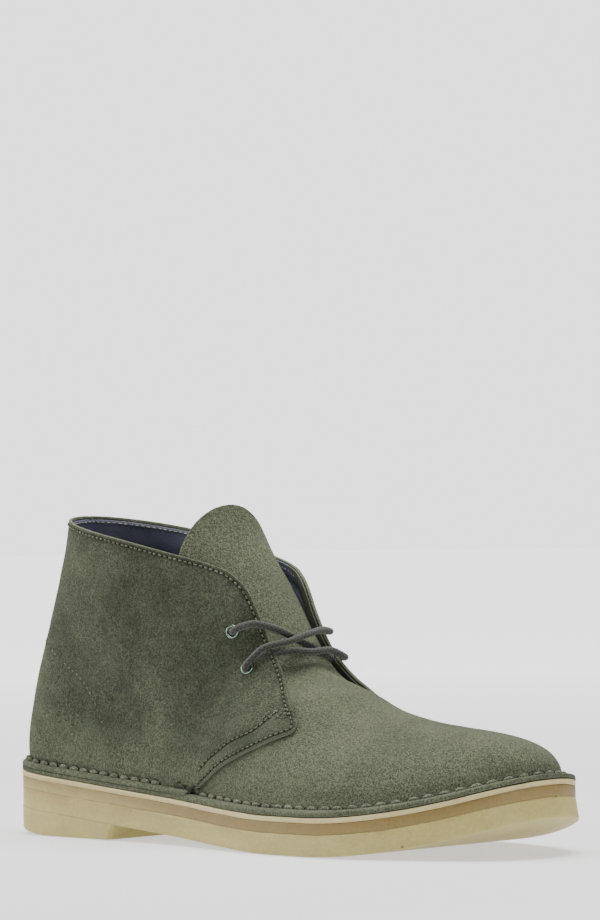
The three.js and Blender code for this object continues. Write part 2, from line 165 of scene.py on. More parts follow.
CHORDS = np.hypot(np.diff(column("footX")), np.diff(column("footHalf")))
KNOTS = np.concatenate([[0], np.cumsum(CHORDS)])
GIRTH = KNOTS[-1]
CURVES = {name: spline(KNOTS, column(name), name not in ODD) for name in RIB_COLUMNS}
STACK = MIDSOLE + CREPE_MIDDLE + OUTSOLE + 2 * GAP


def sole_top(x):
    """Height of the midsole's top along the boot."""
    heelward = np.clip(1 - x / (0.62 * LENGTH), 0, 1)
    toeward = np.maximum(0, x - 0.7 * LENGTH) / (0.3 * LENGTH)
    return STACK + (HEEL_SEAT_HEIGHT - STACK) * heelward ** 1.25 + TOE_SPRING * toeward ** 2


def last(s, side, v):
    """Points of the last: s from toe 0 to heel 1, v from sole 0 to top 1, side -1 outer or 1 inner."""
    s, side, v = np.broadcast_arrays(*[np.asarray(a, float) for a in (s, side, v)])
    t = s * GIRTH
    c = {name: curve(t) for name, curve in CURVES.items()}
    opening = np.where(t <= KNOTS[RIDGE_END], 0, np.maximum(0, c["topHalf"]))
    foot = np.stack([c["footX"], c["footMid"] + side * c["footHalf"], sole_top(c["footX"]) + GAP], -1)
    shoulder = np.stack([c["footX"] + c["lean"], c["footMid"] + side * (c["footHalf"] + c["bulge"]),
                         foot[..., 2] + c["rise"]], -1)
    top = np.stack([c["topX"], c["topMid"] + side * opening, c["topZ"]], -1)
    handle = np.stack([top[..., 0] + c["handleX"], top[..., 1] + side * c["handleHalf"],
                       top[..., 2] - c["handleDrop"]], -1)
    v = v[..., None]
    w = 1 - v
    return w ** 3 * foot + 3 * w * w * v * shoulder + 3 * w * v * v * handle + v ** 3 * top


def side_normal(s, side, v):
    """Outward normal of one side."""
    e = 0.004
    s = np.clip(s, 2 * e, 1 - 2 * e)
    v = np.minimum(v, 1 - 3 * e)
    ds = last(s + e, side, v) - last(s - e, side, v)
    dv = last(s, side, v + e) - last(s, side, np.maximum(0, v - e))
    n = np.cross(ds, dv) * np.asarray(side, float)[..., None]
    return n / np.linalg.norm(n, axis=-1, keepdims=True)


def normal(s, side, v):
    """Outward normal, the same from both sides where they meet."""
    s, side, v = np.broadcast_arrays(*[np.asarray(a, float) for a in (s, side, v)])
    n = side_normal(s, side, v)
    both = (n + side_normal(s, -side, v)) * np.array([1, 0, 1])
    middle = (s <= 0) | (s >= 1) | ((v >= 1) & (s * GIRTH <= KNOTS[RIDGE_END]))
    n = np.where(middle[..., None], both, n)
    n = np.where((v <= 0)[..., None], n * np.array([1, 1, 0]), n)
    return n / np.linalg.norm(n, axis=-1, keepdims=True)


def offset(s, side, v, distance):
    """Points that stand off the last by a distance."""
    return last(s, side, v) + normal(s, side, v) * np.asarray(distance, float)[..., None]


def from_side(shares, side, distance):
    """The s and v whose point, off the last by distance, the side view shows at shares (x, z)."""
    goal = np.asarray(shares, float).reshape(-1, 2) * [LENGTH, COLLAR_HEIGHT]
    s_grid, v_grid = np.meshgrid(np.linspace(0, 1, 161), np.linspace(0, 1, 61))
    coarse = offset(s_grid, side, v_grid, distance)[..., [0, 2]].reshape(-1, 2)
    nearest = [np.argmin(np.sum((coarse - g) ** 2, axis=1)) for g in goal]
    s, v = s_grid.reshape(-1)[nearest], v_grid.reshape(-1)[nearest]
    e = 1e-3
    for _ in range(20):
        p = offset(s, side, v, distance)
        ps = (offset(s + e, side, v, distance) - p) / e
        pv = (offset(s, side, v + e, distance) - p) / e
        det = ps[:, 0] * pv[:, 2] - ps[:, 2] * pv[:, 0]
        dx, dz = goal[:, 0] - p[:, 0], goal[:, 1] - p[:, 2]
        s = np.clip(s + 0.6 * (dx * pv[:, 2] - dz * pv[:, 0]) / det, 0, 1)
        v = np.clip(v + 0.6 * (ps[:, 0] * dz - ps[:, 2] * dx) / det, 0, 1.01)
    return s, v


# Curves and meshes


def smooth(points, count):
    """A smooth curve through points, sampled at even steps."""
    p = np.asarray(points, float)
    p = np.vstack([2 * p[0] - p[1], p, 2 * p[-1] - p[-2]])
    fine = []
    for i in range(1, len(p) - 2):
        for t in np.linspace(0, 1, 24, endpoint=False):
            a = 2 * p[i]
            b = p[i + 1] - p[i - 1]
            c = 2 * p[i - 1] - 5 * p[i] + 4 * p[i + 1] - p[i + 2]
            d = -p[i - 1] + 3 * p[i] - 3 * p[i + 1] + p[i + 2]
            fine.append((a + b * t + c * t * t + d * t ** 3) / 2)
    fine.append(p[-2])
    return even_steps(np.array(fine), count)


def run_along(path):
    """Length along a path at each of its points."""
    return np.concatenate([[0], np.cumsum(np.linalg.norm(np.diff(path, axis=0), axis=1))])


def even_steps(path, count):
    """The same path with count points at even steps."""
    run = run_along(path)
    at = np.linspace(0, run[-1], count)
    return np.stack([np.interp(at, run, path[:, k]) for k in range(path.shape[1])], -1)


def bend(start, control, end, count):
    """A curve from start to end that is pulled to control."""
    t = np.linspace(0, 1, count)[:, None]
    start, control, end = map(np.asarray, (start, control, end))
    return (1 - t) ** 2 * start + 2 * t * (1 - t) * control + t * t * end


def ease(x, low, high):
    """0 below low, 1 above high, smooth between."""
    t = np.clip((np.asarray(x, float) - low) / (high - low), 0, 1)
    return t * t * (3 - 2 * t)


def ripple(points, size, amount, seed):
    """A gentle unevenness with waves of about that size."""
    rng = np.random.default_rng(seed)
    total = np.zeros(points.shape[:-1])
    for _ in range(7):
        way = rng.normal(size=3)
        way *= 2 * math.pi / size * rng.uniform(0.6, 1.5) / np.linalg.norm(way)
        total += np.sin(points @ way + rng.uniform(0, 2 * math.pi))
    return total * amount / 2.6


def world(points):
    """Millimetres from the outsole's back to metres in the row frame."""
    return (np.asarray(points, float) - np.array([HEEL_BREAST / 2, 0, 0])) * 0.001


def numbered(rows, columns):
    """The point numbers of a grid."""
    return np.arange(rows * columns).reshape(rows, columns)


def grid_faces(index):
    """Quads between neighbours of a grid of point numbers."""
    quads = np.stack([index[:-1, :-1], index[:-1, 1:], index[1:, 1:], index[1:, :-1]], -1)
    return quads.reshape(-1, 4)


def tube_faces(rings, around, start=0):
    """Faces of a tube of closed rings of points, with its two ends."""
    index = numbered(rings, around) + start
    closed = np.hstack([index, index[:, :1]])
    return [*grid_faces(closed), tuple(index[0]), tuple(index[-1])]


def vertex_normals(points, quads):
    """Normals of the points of a quad mesh."""
    a, b, c, d = (points[quads[:, k]] for k in range(4))
    face = np.cross(c - a, d - b)
    total = np.zeros_like(points)
    for k in range(4):
        np.add.at(total, quads[:, k], face)
    length = np.linalg.norm(total, axis=1, keepdims=True)
    return total / np.maximum(length, 1e-12)


WELD = 2e-6  # metres; points nearer than this are one


def add_piece(name, points, faces, material, slot, nodes=(), marks=None):
    """A smooth mesh piece that rides on the part. marks are values at its points that the materials read."""
    mesh = bpy.data.meshes.new(name)
    mesh.from_pydata(world(points).tolist(), [], [tuple(f) for f in faces])
    for key, values in (marks or {}).items():
        layer = mesh.attributes.new(key, "FLOAT", "POINT")
        layer.data.foreach_set("value", np.asarray(values, np.float32).reshape(-1))
    work = bmesh.new()
    work.from_mesh(mesh)
    loose = [v for v in work.verts if not v.link_faces]
    bmesh.ops.delete(work, geom=loose, context="VERTS")
    bmesh.ops.remove_doubles(work, verts=work.verts, dist=WELD)
    bmesh.ops.recalc_face_normals(work, faces=work.faces)
    work.to_mesh(mesh)
    work.free()
    mesh.shade_smooth()
    piece = bpy.data.objects.new(name, mesh)
    bpy.context.collection.objects.link(piece)
    mesh.materials.append(material)
    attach(piece, "root")
    if nodes:
        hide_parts(*nodes)
    return piece


EDGE_SWELL = 0.12  # how far a cut edge bulges


def sheet(name, points, quads, thickness, material, slot, nodes=(), marks=None, lining=None):
    """A sheet with its outer face on the quads, cut edges all round and a thickness inwards."""
    count = len(points)
    normals = vertex_normals(points, quads)
    inner = points - normals * np.broadcast_to(thickness, (count,))[:, None]
    edges = np.concatenate([quads[:, [k, (k + 1) % 4]] for k in range(4)])
    key = np.sort(edges, axis=1)
    _, first, times = np.unique(key, axis=0, return_index=True, return_counts=True)
    border = edges[first[times == 1]]
    on_border = np.unique(border)
    number = {p: 2 * count + k for k, p in enumerate(on_border)}
    away = np.zeros_like(points)
    for a, b in border:
        way = np.cross(points[b] - points[a], normals[a])
        way /= max(np.linalg.norm(way), 1e-9)
        away[a] += way
        away[b] += way
    size = np.maximum(np.linalg.norm(away[on_border], axis=1, keepdims=True), 1e-9)
    middle = (points[on_border] + inner[on_border]) / 2 + away[on_border] / size * EDGE_SWELL
    strips = []
    for a, b in border:
        strips.append((b, a, number[a], number[b]))
        strips.append((number[b], number[a], a + count, b + count))
    faces = [*quads, *(quads[:, ::-1] + count), *strips]
    every = np.concatenate([points, inner, middle])
    raw = np.zeros(len(every))
    raw[2 * count:] = 1
    raw[on_border] = 0.25
    raw[on_border + count] = 0.5
    back = np.zeros(len(every))
    back[count:2 * count] = 1
    every_mark = {"raw": raw, "back": back}
    for mark, values in (marks or {}).items():
        values = np.broadcast_to(values, (count,))
        every_mark[mark] = np.concatenate([values, values, values[on_border]])
    piece = add_piece(name, every, faces, material, slot, nodes, every_mark)
    if lining:
        piece.data.materials.append(lining)
        layer, wall = piece.data.attributes["back"].data, piece.data.attributes["wall"].data
        for face in piece.data.polygons:
            if all(layer[v].value > 0.5 and wall[v].value > 0.5 for v in face.vertices):
                face.material_index = 1
    return piece


# Materials


def srgb(red, green, blue):
    """A colour given as 0 to 255, for a shader."""
    def line(c):
        c /= 255
        return c / 12.92 if c <= 0.04045 else ((c + 0.055) / 1.055) ** 2.4
    return (line(red), line(green), line(blue), 1)


class Shader:
    """A material under construction, with short names for the nodes it uses."""

    def __init__(self, name):
        self.material = bpy.data.materials.new(name)
        self.material.use_nodes = True
        self.tree = self.material.node_tree
        self.main = self.tree.nodes["Principled BSDF"]
        self.place = self.node("ShaderNodeTexCoord").outputs["Object"]

    def node(self, kind, **settings):
        made = self.tree.nodes.new(kind)
        for key, value in settings.items():
            setattr(made, key, value)
        return made

    def feed(self, socket, value):
        if isinstance(value, bpy.types.NodeSocket):
            self.tree.links.new(value, socket)
        else:
            socket.default_value = value

    def noise(self, scale, detail=2.0, rough=0.5, place=None, skew=0.0):
        made = self.node("ShaderNodeTexNoise")
        self.feed(made.inputs["Vector"], place or self.place)
        made.inputs["Scale"].default_value = scale
        made.inputs["Detail"].default_value = detail
        made.inputs["Roughness"].default_value = rough
        made.inputs["Distortion"].default_value = skew
        return made.outputs["Fac"]

    def stretched(self, x, y, z, turn=(0, 0, 0)):
        made = self.node("ShaderNodeMapping")
        self.feed(made.inputs["Vector"], self.place)
        made.inputs["Rotation"].default_value = turn
        made.inputs["Scale"].default_value = (x, y, z)
        return made.outputs["Vector"]

    def cells(self, scale):
        made = self.node("ShaderNodeTexVoronoi")
        self.feed(made.inputs["Vector"], self.place)
        made.inputs["Scale"].default_value = scale
        return made.outputs["Distance"]

    def range(self, value, low, high, to_low=0.0, to_high=1.0):
        made = self.node("ShaderNodeMapRange")
        self.feed(made.inputs["Value"], value)
        for name, number in (("From Min", low), ("From Max", high), ("To Min", to_low), ("To Max", to_high)):
            made.inputs[name].default_value = number
        return made.outputs["Result"]

    def sum(self, first, second, by="ADD"):
        made = self.node("ShaderNodeMath", operation=by)
        self.feed(made.inputs[0], first)
        self.feed(made.inputs[1], second)
        return made.outputs[0]

    def times(self, first, second):
        return self.sum(first, second, "MULTIPLY")

    def mix(self, share, first, second, how="MIX"):
        made = self.node("ShaderNodeMix", data_type="RGBA", blend_type=how)
        self.feed(made.inputs["Factor"], share)
        self.feed(made.inputs[6], first)
        self.feed(made.inputs[7], second)
        return made.outputs[2]

    def mark(self, name):
        return self.node("ShaderNodeAttribute", attribute_name=name).outputs["Fac"]

    def bump(self, height, strength, distance, under=None):
        made = self.node("ShaderNodeBump")
        made.inputs["Strength"].default_value = strength
        made.inputs["Distance"].default_value = distance
        self.feed(made.inputs["Height"], height)
        if under:
            self.feed(made.inputs["Normal"], under)
        return made.outputs["Normal"]

    def finish(self, color, roughness, bumped=None, **fixed):
        self.feed(self.main.inputs["Base Color"], color)
        self.feed(self.main.inputs["Roughness"], roughness)
        if bumped:
            self.feed(self.main.inputs["Normal"], bumped)
        for name, value in fixed.items():
            self.main.inputs[name.replace("_", " ")].default_value = value
        return self.material


SHADOW_TONE, FACING_TONE = srgb(22, 23, 18), srgb(66, 67, 60)
FADED_CREPE, SPECK_TONE = srgb(174, 160, 104), srgb(74, 60, 36)
WORN_METAL, SHEEN_TONE = srgb(150, 160, 150), srgb(190, 194, 170)


def suede(name, dark, light, edge):
    """Napped suede: patches where the nap lies another way, fine speckled grain and paler cut edges."""
    s = Shader(name)
    patches = s.range(s.noise(28, 3, 0.55, skew=0.4), 0.34, 0.66)
    mottle = s.range(s.noise(130, 3, 0.6), 0.3, 0.7)
    grain = s.range(s.noise(1700, 2.5, 0.65), 0.3, 0.7)
    fleck = s.range(s.noise(850, 2, 0.6), 0.35, 0.65)
    base = s.mix(s.sum(s.times(patches, 0.6), s.times(mottle, 0.28)), dark, light)
    # painted light: the shade mark lightens the suede towards the light colour
    base = s.mix(s.range(s.mark("shade"), 0, 1, 0, 0.9), base, light)
    base = s.mix(0.8, base, s.range(grain, 0, 1, 0.17, 0.85), "OVERLAY")
    base = s.mix(0.45, base, s.range(fleck, 0, 1, 0.26, 0.74), "OVERLAY")
    base = s.mix(s.times(s.mark("raw"), 0.75), base, edge)
    # painted shade: this mark darkens the suede towards the shadow tone in creases, along stitch rows and
    # over shaded sides
    base = s.mix(s.range(s.mark("painted_shade"), 0, 1, 0, 0.85), base, SHADOW_TONE)
    soft = s.bump(mottle, 0.2, 0.0005)
    fine = s.bump(s.sum(grain, fleck), 0.6, 0.0003, soft)
    return s.finish(base, 0.98, fine, Sheen_Weight=0.1, Sheen_Roughness=0.5,
                    Sheen_Tint=SHEEN_TONE, Specular_IOR_Level=0.05)


def leather(name, color, light):
    """Smooth matte lining leather with a fine grain."""
    s = Shader(name)
    wear = s.range(s.noise(60, 3), 0.35, 0.7)
    cells = s.cells(900)
    base = s.mix(s.times(wear, 0.5), color, light)
    base = s.mix(s.times(s.mark("raw"), 0.5), base, light)
    base = s.mix(s.mark("facing"), base, FACING_TONE)
    return s.finish(base, s.range(wear, 0, 1, 0.55, 0.75), s.bump(cells, 0.25, 0.0002),
                    Specular_IOR_Level=0.35)


def crepe(name, color, warm, rough=0.55):
    """Natural crepe rubber: cloudy, a little see-through, with fine dark specks."""
    s = Shader(name)
    cloud = s.range(s.noise(38, 4, 0.6, place=s.stretched(1, 1, 2.5)), 0.33, 0.68)
    grain = s.noise(750, 3, 0.6)
    base = s.mix(s.sum(s.times(cloud, 0.4), s.mark("tint")), color, warm)
    base = s.mix(s.mark("fade"), base, FADED_CREPE)
    base = s.mix(0.22, base, s.range(grain, 0.3, 0.7, 0.3, 0.72), "OVERLAY")
    speck = s.range(s.cells(115), 0.045, 0.09, 1, 0)
    rare = s.range(s.noise(70, 1), 0.5, 0.53)
    base = s.mix(s.times(s.times(speck, rare), 0.75), base, SPECK_TONE)
    bumped = s.bump(grain, 0.3, 0.0003, s.bump(cloud, 0.25, 0.0008))
    return s.finish(base, rough, bumped, Subsurface_Weight=0.15, Subsurface_Radius=(0.006, 0.004, 0.002),
                    Specular_IOR_Level=0.35)


def enamel(name, color):
    """Painted metal, a little worn."""
    s = Shader(name)
    wear = s.range(s.noise(900, 3), 0.52, 0.66)
    base = s.mix(s.times(wear, 0.45), color, WORN_METAL)
    return s.finish(base, s.range(wear, 0, 1, 0.22, 0.4), s.bump(wear, 0.1, 0.0001),
                    Metallic=0.75, Coat_Weight=0.6, Coat_Roughness=0.1)


def cord_cotton(name, color, light):
    """Woven cotton: paler on the strands' crests as painted light and darker between them as painted shade,
    with loose fibres.
    """
    s = Shader(name)
    fibre = s.range(s.noise(2600, 2, 0.6), 0.3, 0.7)
    base = s.mix(s.range(s.mark("strand"), 0, 1, 0, 0.85), color, light)
    base = s.mix(0.3, base, s.range(fibre, 0, 1, 0.3, 0.7), "OVERLAY")
    return s.finish(base, 0.9, s.bump(fibre, 0.4, 0.00015), Sheen_Weight=0.2, Sheen_Roughness=0.5)


def light_table(name, tone):
    """The pale floor, lit from within, more so away from the boot."""
    s = Shader(name)
    grain = s.range(s.noise(3, 2), 0.3, 0.7, tone - 0.01, tone)
    away = s.node("ShaderNodeVectorMath", operation="LENGTH")
    s.feed(away.inputs[0], s.place)
    glow = s.range(away.outputs["Value"], 0.4, 2.0, FLOOR_GLOW, BACKDROP_LIGHT)
    s.feed(s.main.inputs["Emission Color"], glow)
    return s.finish(grain, 0.9, Specular_IOR_Level=0.1, Emission_Strength=1.0)


AROUND_LIGHT, BACKDROP_LIGHT = 0.15, 2.2
FLOOR_GLOW = 0.8  # beside the boot; far away it is as bright as the backdrop

SUEDE_LOOK = suede("suede_olive", srgb(53, 57, 46), srgb(88, 92, 74), srgb(122, 125, 106))
THREAD_LOOK = suede("thread_olive", srgb(80, 82, 68), srgb(110, 112, 95), srgb(130, 131, 113))
PALE_THREAD_LOOK = suede("thread_pale", srgb(120, 120, 108), srgb(150, 150, 138), srgb(150, 150, 138))
# painted shadow: near-black suede for the beads that stand for the shade in stitch holes and round the crease
# stitches
STITCH_SHADOW_LOOK = suede("stitch_shadow", srgb(22, 23, 18), srgb(32, 33, 27), srgb(32, 33, 27))
LINING_LOOK = leather("lining_navy", srgb(66, 68, 84), srgb(86, 88, 103))
CREAM_LOOK = crepe("cream_rubber", srgb(196, 184, 138), srgb(178, 162, 112))
TAN_LOOK = crepe("tan_crepe", srgb(121, 101, 56), srgb(108, 88, 46))
PALE_LOOK = crepe("pale_crepe", srgb(177, 165, 106), srgb(148, 130, 74))
ENAMEL_LOOK = enamel("eyelet_enamel", srgb(104, 126, 114))
LACE_LOOK = cord_cotton("lace_cotton", srgb(20, 21, 18), srgb(58, 60, 51))


# The turned-out edge: rows from its outer end to the foot of the wall, as (outwards, height over the midsole)
VAMP_EDGE = [(5.5, 0.12), (5.58, 0.8), (5.5, 1.5), (5.25, 1.95), (4.7, 2.25), (3.9, 2.5), (3.0, 2.75),
             (2.3, 2.9), (1.85, 2.85), (1.45, 2.6), (1.1, 2.5), (0.75, 2.75), (0.4, 3.5), (0.15, 4.6)]
VAMP_EDGE_SKIN = [1.0, 1.0, 1.2, 1.5, 1.8, 2.1, 2.3, 2.4, 2.3, 2.0, 1.8, 1.6, 1.4, 1.4]
QUARTER_EDGE = [(5.5, 2.05), (5.58, 2.6), (5.5, 3.2), (5.25, 3.6), (4.9, 3.85), (4.3, 4.1), (3.8, 4.3),
                (3.35, 4.4), (3.0, 4.3), (2.65, 4.1), (2.35, 4.15), (2.05, 4.6), (1.85, 5.2), (1.7, 5.9)]
UNDER_EDGE = [(5.45, 0.12), (5.55, 0.7), (5.5, 1.4), (5.3, 1.8), (5.0, 1.95), (3.5, 1.98), (1.0, 1.98),
              (-0.8, 1.98)]
VAMP_CREASE, QUARTER_CREASE = 10, 9  # the row of each profile that lies lowest, beside the wall
WALL_START = 6.4  # the wall proper starts this far over the midsole
DARK_FROM, CREASE_PAINTED_SHADE = 7, 0.55  # painted shade: the crease is darker by this, from the row after this one


def foot_line(s, side):
    """The foot of the wall at the columns s, and the outward directions there."""
    level = np.zeros_like(s)
    return last(s, side, level), normal(s, side, level)


def foot_rows(profile, s, side):
    """Rows of points of the turned-out edge at the columns s."""
    foot, way = foot_line(s, side)
    rows = []
    for out, height in profile:
        p = foot + way * out
        p[..., 2] = sole_top(p[..., 0]) + GAP + height
        rows.append(p)
    return np.array(rows)


def wall_start(s):
    """The v at which the wall proper starts."""
    return WALL_START / (3 * CURVES["rise"](np.asarray(s) * GIRTH))


# The vamp runs on into the tongue: its middle line seen from the side and half width
VAMP_END = 0.43  # s at which the vamp turns into the tongue
ROOT_LENGTH = 0.085  # and how much further in s the vamp's form lasts under the tongue's root
WING_END = 0.62
SINK_START, SINK_LENGTH, SINK_DEPTH = 0.36, 0.148, 12
WING_TO = 0.45  # the wings under the quarters take the rows of the wall up to this share
TONGUE_FROM = 0.53  # the tongue takes the rows from this share up
TONGUE_LINE = [(177.6, 71.0), (169.3, 75.2), (161.3, 82.0), (152.9, 93.0), (145.5, 104.0), (137.5, 115.3),
               (130.7, 124.2), (125.2, 132.2), (121.3, 139.2), (118.8, 145.3), (118.0, 148.1)]
TONGUE_HALF = [(0.0, 21.0), (0.2, 19.5), (0.4, 18.4), (0.6, 18.8), (0.8, 29.3)]
TONGUE_ROUND = 0.45  # from this share of its length on the tongue rounds off to its end
TONGUE_POWER = 2.9  # how square that end is
TONGUE_CROWN = 28.7
TONGUE_MID = 0.4
TONGUE_TWIST = 0.25  # the inner edge lies this much further forward, per width


def vamp_sink(s):
    """How far the middle of the vamp has sunk towards the empty inside."""
    return SINK_DEPTH * np.clip((s - SINK_START) / SINK_LENGTH, 0, 1.2) ** 1.7


def vamp_face(s, side, v):
    """The vamp's outer face, with the valley between the facings."""
    p = offset(s, side, v, 0.0)
    ridge = normal(s, side, np.ones_like(v))
    depth = vamp_sink(s) * ease(v, 0.58, 0.84)
    return p - ridge * depth[..., None]


def tongue_face(t, side, across):
    """The tongue's outer face: t up its length, across from its middle 0 to its edge 1."""
    line = smooth([(x, 0, z) for x, z in TONGUE_LINE], 200)
    at = np.linspace(0, 1, len(line))
    p = np.stack([np.interp(t, at, line[:, k]) for k in range(3)], -1)
    slope = np.gradient(line, axis=0)
    slope /= np.linalg.norm(slope, axis=1, keepdims=True)
    along = np.stack([np.interp(t, at, slope[:, k]) for k in range(3)], -1)
    out = np.stack([along[..., 2], 0 * t, -along[..., 0]], -1)
    half = np.interp(t, *zip(*TONGUE_HALF))
    end = np.clip((t - TONGUE_ROUND) / (1 - TONGUE_ROUND), 0, 1)
    half = half * np.sqrt(np.maximum(1 - end ** TONGUE_POWER, 0.002))
    angle = np.arcsin(np.clip(half / TONGUE_CROWN, 0, 0.95)) * across
    p = p + out * (TONGUE_CROWN * (np.cos(angle) - 1))[..., None]
    p[..., 1] = TONGUE_MID + side * TONGUE_CROWN * np.sin(angle)
    p[..., 0] += TONGUE_TWIST * side * TONGUE_CROWN * np.sin(angle)
    return p


def vamp_and_tongue():
    """One piece of suede from the toe to the tongue's tip."""
    toe_columns, tongue_columns = 120, 70
    level = np.linspace(0, 1, 49)
    s_toe = VAMP_END * np.linspace(0, 1, toe_columns) ** 1.05
    t = 1 - (1 - np.linspace(0, 1, tongue_columns)[1:]) ** 1.25
    s_wing = VAMP_END + (WING_END - VAMP_END) * t
    s_far = VAMP_END + ROOT_LENGTH * np.minimum(t * 4, 1.0)
    edge_count = len(VAMP_EDGE)
    sides = []
    for side in (-1, 1):
        s_all = np.concatenate([s_toe, s_wing])
        flange = foot_rows(VAMP_EDGE, s_all, side)
        start = wall_start(s_toe)
        v = start + (1 - start) * level[:, None]
        toe = vamp_face(np.broadcast_to(s_toe, v.shape), side, v)
        start = wall_start(s_wing)
        v_wing = start + (1 - start) * level[:, None]
        wing = offset(np.broadcast_to(s_wing, v_wing.shape), side, v_wing, 0.0)
        share = (level[:, None] - TONGUE_FROM) / (1 - TONGUE_FROM)
        across = np.clip(1 - share, 0, 1) + 0 * v_wing
        strap = tongue_face(np.broadcast_to(t, v_wing.shape), side, across)
        on = vamp_face(np.broadcast_to(s_far, v_wing.shape), side, v_wing)
        blend = ease(t, 0.0, 0.22)[None, :, None]
        strap = on * (1 - blend) + strap * blend
        low = (level < WING_TO + 1 / (len(level) - 1))[:, None, None]
        far = np.where(low, wing, strap)
        wall = np.concatenate([toe, far], axis=1)
        sides.append(np.concatenate([flange, wall]))
    outer, inner = sides
    rows, columns = outer.shape[:2]
    points = np.concatenate([outer[:, ::-1], inner[:, 1:]], axis=1)
    wide = points.shape[1]
    index = numbered(rows, wide)
    flat = points.reshape(-1, 3)
    for k in range(columns - 1):
        a, b = index[-1, k], index[-1, wide - 1 - k]
        if np.linalg.norm(flat[a] - flat[b]) < 0.05:
            index[-1, wide - 1 - k] = a
    quads = grid_faces(index)
    row = quads[:, 0] // wide
    column_number = np.minimum(quads[:, 0] % wide, wide - 1 - quads[:, 0] % wide)
    is_far = column_number < tongue_columns - 1
    v_row = np.maximum(0, row - edge_count) / (len(level) - 1)
    drop = is_far & (v_row > WING_TO) & (v_row < TONGUE_FROM)
    quads = quads[~drop]
    height = flat[:, 2] - sole_top(flat[:, 0])
    waves = (ripple(flat, 46, 0.14, 3) + ripple(flat, 13, 0.04, 4)) * ease(height, 6, 20)
    flat = flat + vertex_normals(flat, quads) * waves[:, None]
    skin = np.full(flat.shape[0], VAMP_SKIN)
    skin[:edge_count * wide] = np.repeat(VAMP_EDGE_SKIN, wide)
    wall = np.arange(flat.shape[0]) >= (edge_count + 1) * wide
    # painted shade: darker in the crease at the foot of the wall
    painted_shade = CREASE_PAINTED_SHADE * hollow(height - 2.6, 1.0) * (np.arange(flat.shape[0]) // wide > DARK_FROM)
    # painted light: shade 0.55 lightens the whole vamp and tongue towards the light colour
    sheet("vamp_and_tongue", flat, quads, skin, SUEDE_LOOK, "suede", ("upper", "tongue"),
          {"shade": 0.55, "wall": wall, "painted_shade": painted_shade}, lining=LINING_LOOK)


# The quarters


def front_edge(side, distance, count):
    """The quarters' front edge as s and v, from its foot up to the collar."""
    seam = smooth(SEAM[::-1], 80)
    nose = bend(SEAM[0], NOSE, FACING[3], 14)
    facing = smooth(FACING[::-1], 60)
    corner = bend(FACING[0], *CORNER, 24)
    outline = np.vstack([seam, nose[1:], facing[1:], corner[1:]])
    mm = outline * [LENGTH, COLLAR_HEIGHT]
    outline = even_steps(mm, count) / [LENGTH, COLLAR_HEIGHT]
    s, v = from_side(outline, side, distance)
    v[0] = wall_start(s[0])
    top = np.argmax(v >= 0.998) if np.any(v >= 0.998) else count - 1
    path = np.stack([s[:top + 1], v[:top + 1]], -1)
    path[-1, 1] = 1.0
    fine = last(path[:, 0], side, path[:, 1])
    run = run_along(fine)
    at = np.linspace(0, run[-1], count)
    return np.interp(at, run, path[:, 0]), np.interp(at, run, path[:, 1])


QUARTER_ROWS, QUARTER_COLUMNS = 100, 150
HOLE_RADIUS, HOLE_REACH = 2.3, 6  # holes for the eyelets


def quarter_places(side, distance):
    """Grid of s and v over one quarter, from its front edge to the middle of the back."""
    s_front, v_front = front_edge(side, distance, QUARTER_ROWS)
    r = np.linspace(0, 1, QUARTER_ROWS)
    u = np.linspace(0, 1, QUARTER_COLUMNS)
    q = 0.55 * u + 0.45 * (0.5 - 0.5 * np.cos(math.pi * u))
    s = s_front[:, None] + (1 - s_front)[:, None] * q
    start = wall_start(s)
    v_back = start + (1 - start) * r[:, None]
    fade = ease(q, 0.0, 0.7)[None, :]
    v = v_front[:, None] * (1 - fade) + v_back * fade
    return s, np.clip(v, start, 1.0)


def hollow(distance, width):
    """1 in the middle of a narrow hollow, falling to 0 beside it."""
    return np.exp(-(distance / width) ** 2)


def back_groove(s):
    """The closed seam down the back pulls in."""
    return -0.55 * hollow((1 - s) * GIRTH, 0.9)


def both_sides(make):
    """Joins the grids of the inner and the outer side along the middle of the back."""
    outer, inner = make(-1), make(1)
    return np.concatenate([inner, outer[:, -2::-1]], axis=1)


def relief(points):
    """How far the quarters stand off their plain form: slow waves that end at the turned-out edge."""
    height = points[..., 2] - sole_top(points[..., 0])
    return (ripple(points, 46, 0.22, 11) + ripple(points, 14, 0.05, 12)) * ease(height, 6, 20)


def quarter_face(s, side, v, distance=QUARTER_STEP):
    """Points of a quarter's face with its waves, or at another distance from the last."""
    plain = offset(s, side, v, QUARTER_STEP + back_groove(np.asarray(s, float)))
    return plain + normal(s, side, v) * (relief(plain) + distance - QUARTER_STEP)[..., None]


def quarter_shell(distance, profile):
    """Grid of points of both quarters with their turned-out edge."""
    def one(side):
        s, v = quarter_places(side, QUARTER_STEP)
        wall = quarter_face(s, side, v, distance)
        if not profile:
            return wall
        return np.concatenate([foot_rows(profile, s[0], side), wall])
    return both_sides(one)


def open_holes(points, quads):
    """Opens a round hole for each eyelet: what lies within it moves out to its rim."""
    within = np.zeros(len(points), bool)
    points = points.copy()
    for side in SIDES.values():
        for place in EYELETS.values():
            centre, way = on_quarter([place], side)
            centre, way = centre[0], way[0]
            away = points - centre
            along = away @ way
            flat = away - along[:, None] * way
            r = np.linalg.norm(flat, axis=1)
            inside = (r < HOLE_RADIUS) & (np.abs(along) < HOLE_REACH)
            points[inside] = (centre + along[inside, None] * way
                              + flat[inside] / np.maximum(r[inside, None], 1e-6) * HOLE_RADIUS)
            within |= inside
    return points, quads[~np.all(within[quads], axis=1)]


def distance_to(points, paths):
    """Distance from each point to the nearest point of the paths."""
    every = np.concatenate(paths)
    tree = kdtree.KDTree(len(every))
    for k, p in enumerate(every):
        tree.insert(p, k)
    tree.balance()
    return np.array([tree.find(p)[2] for p in points])


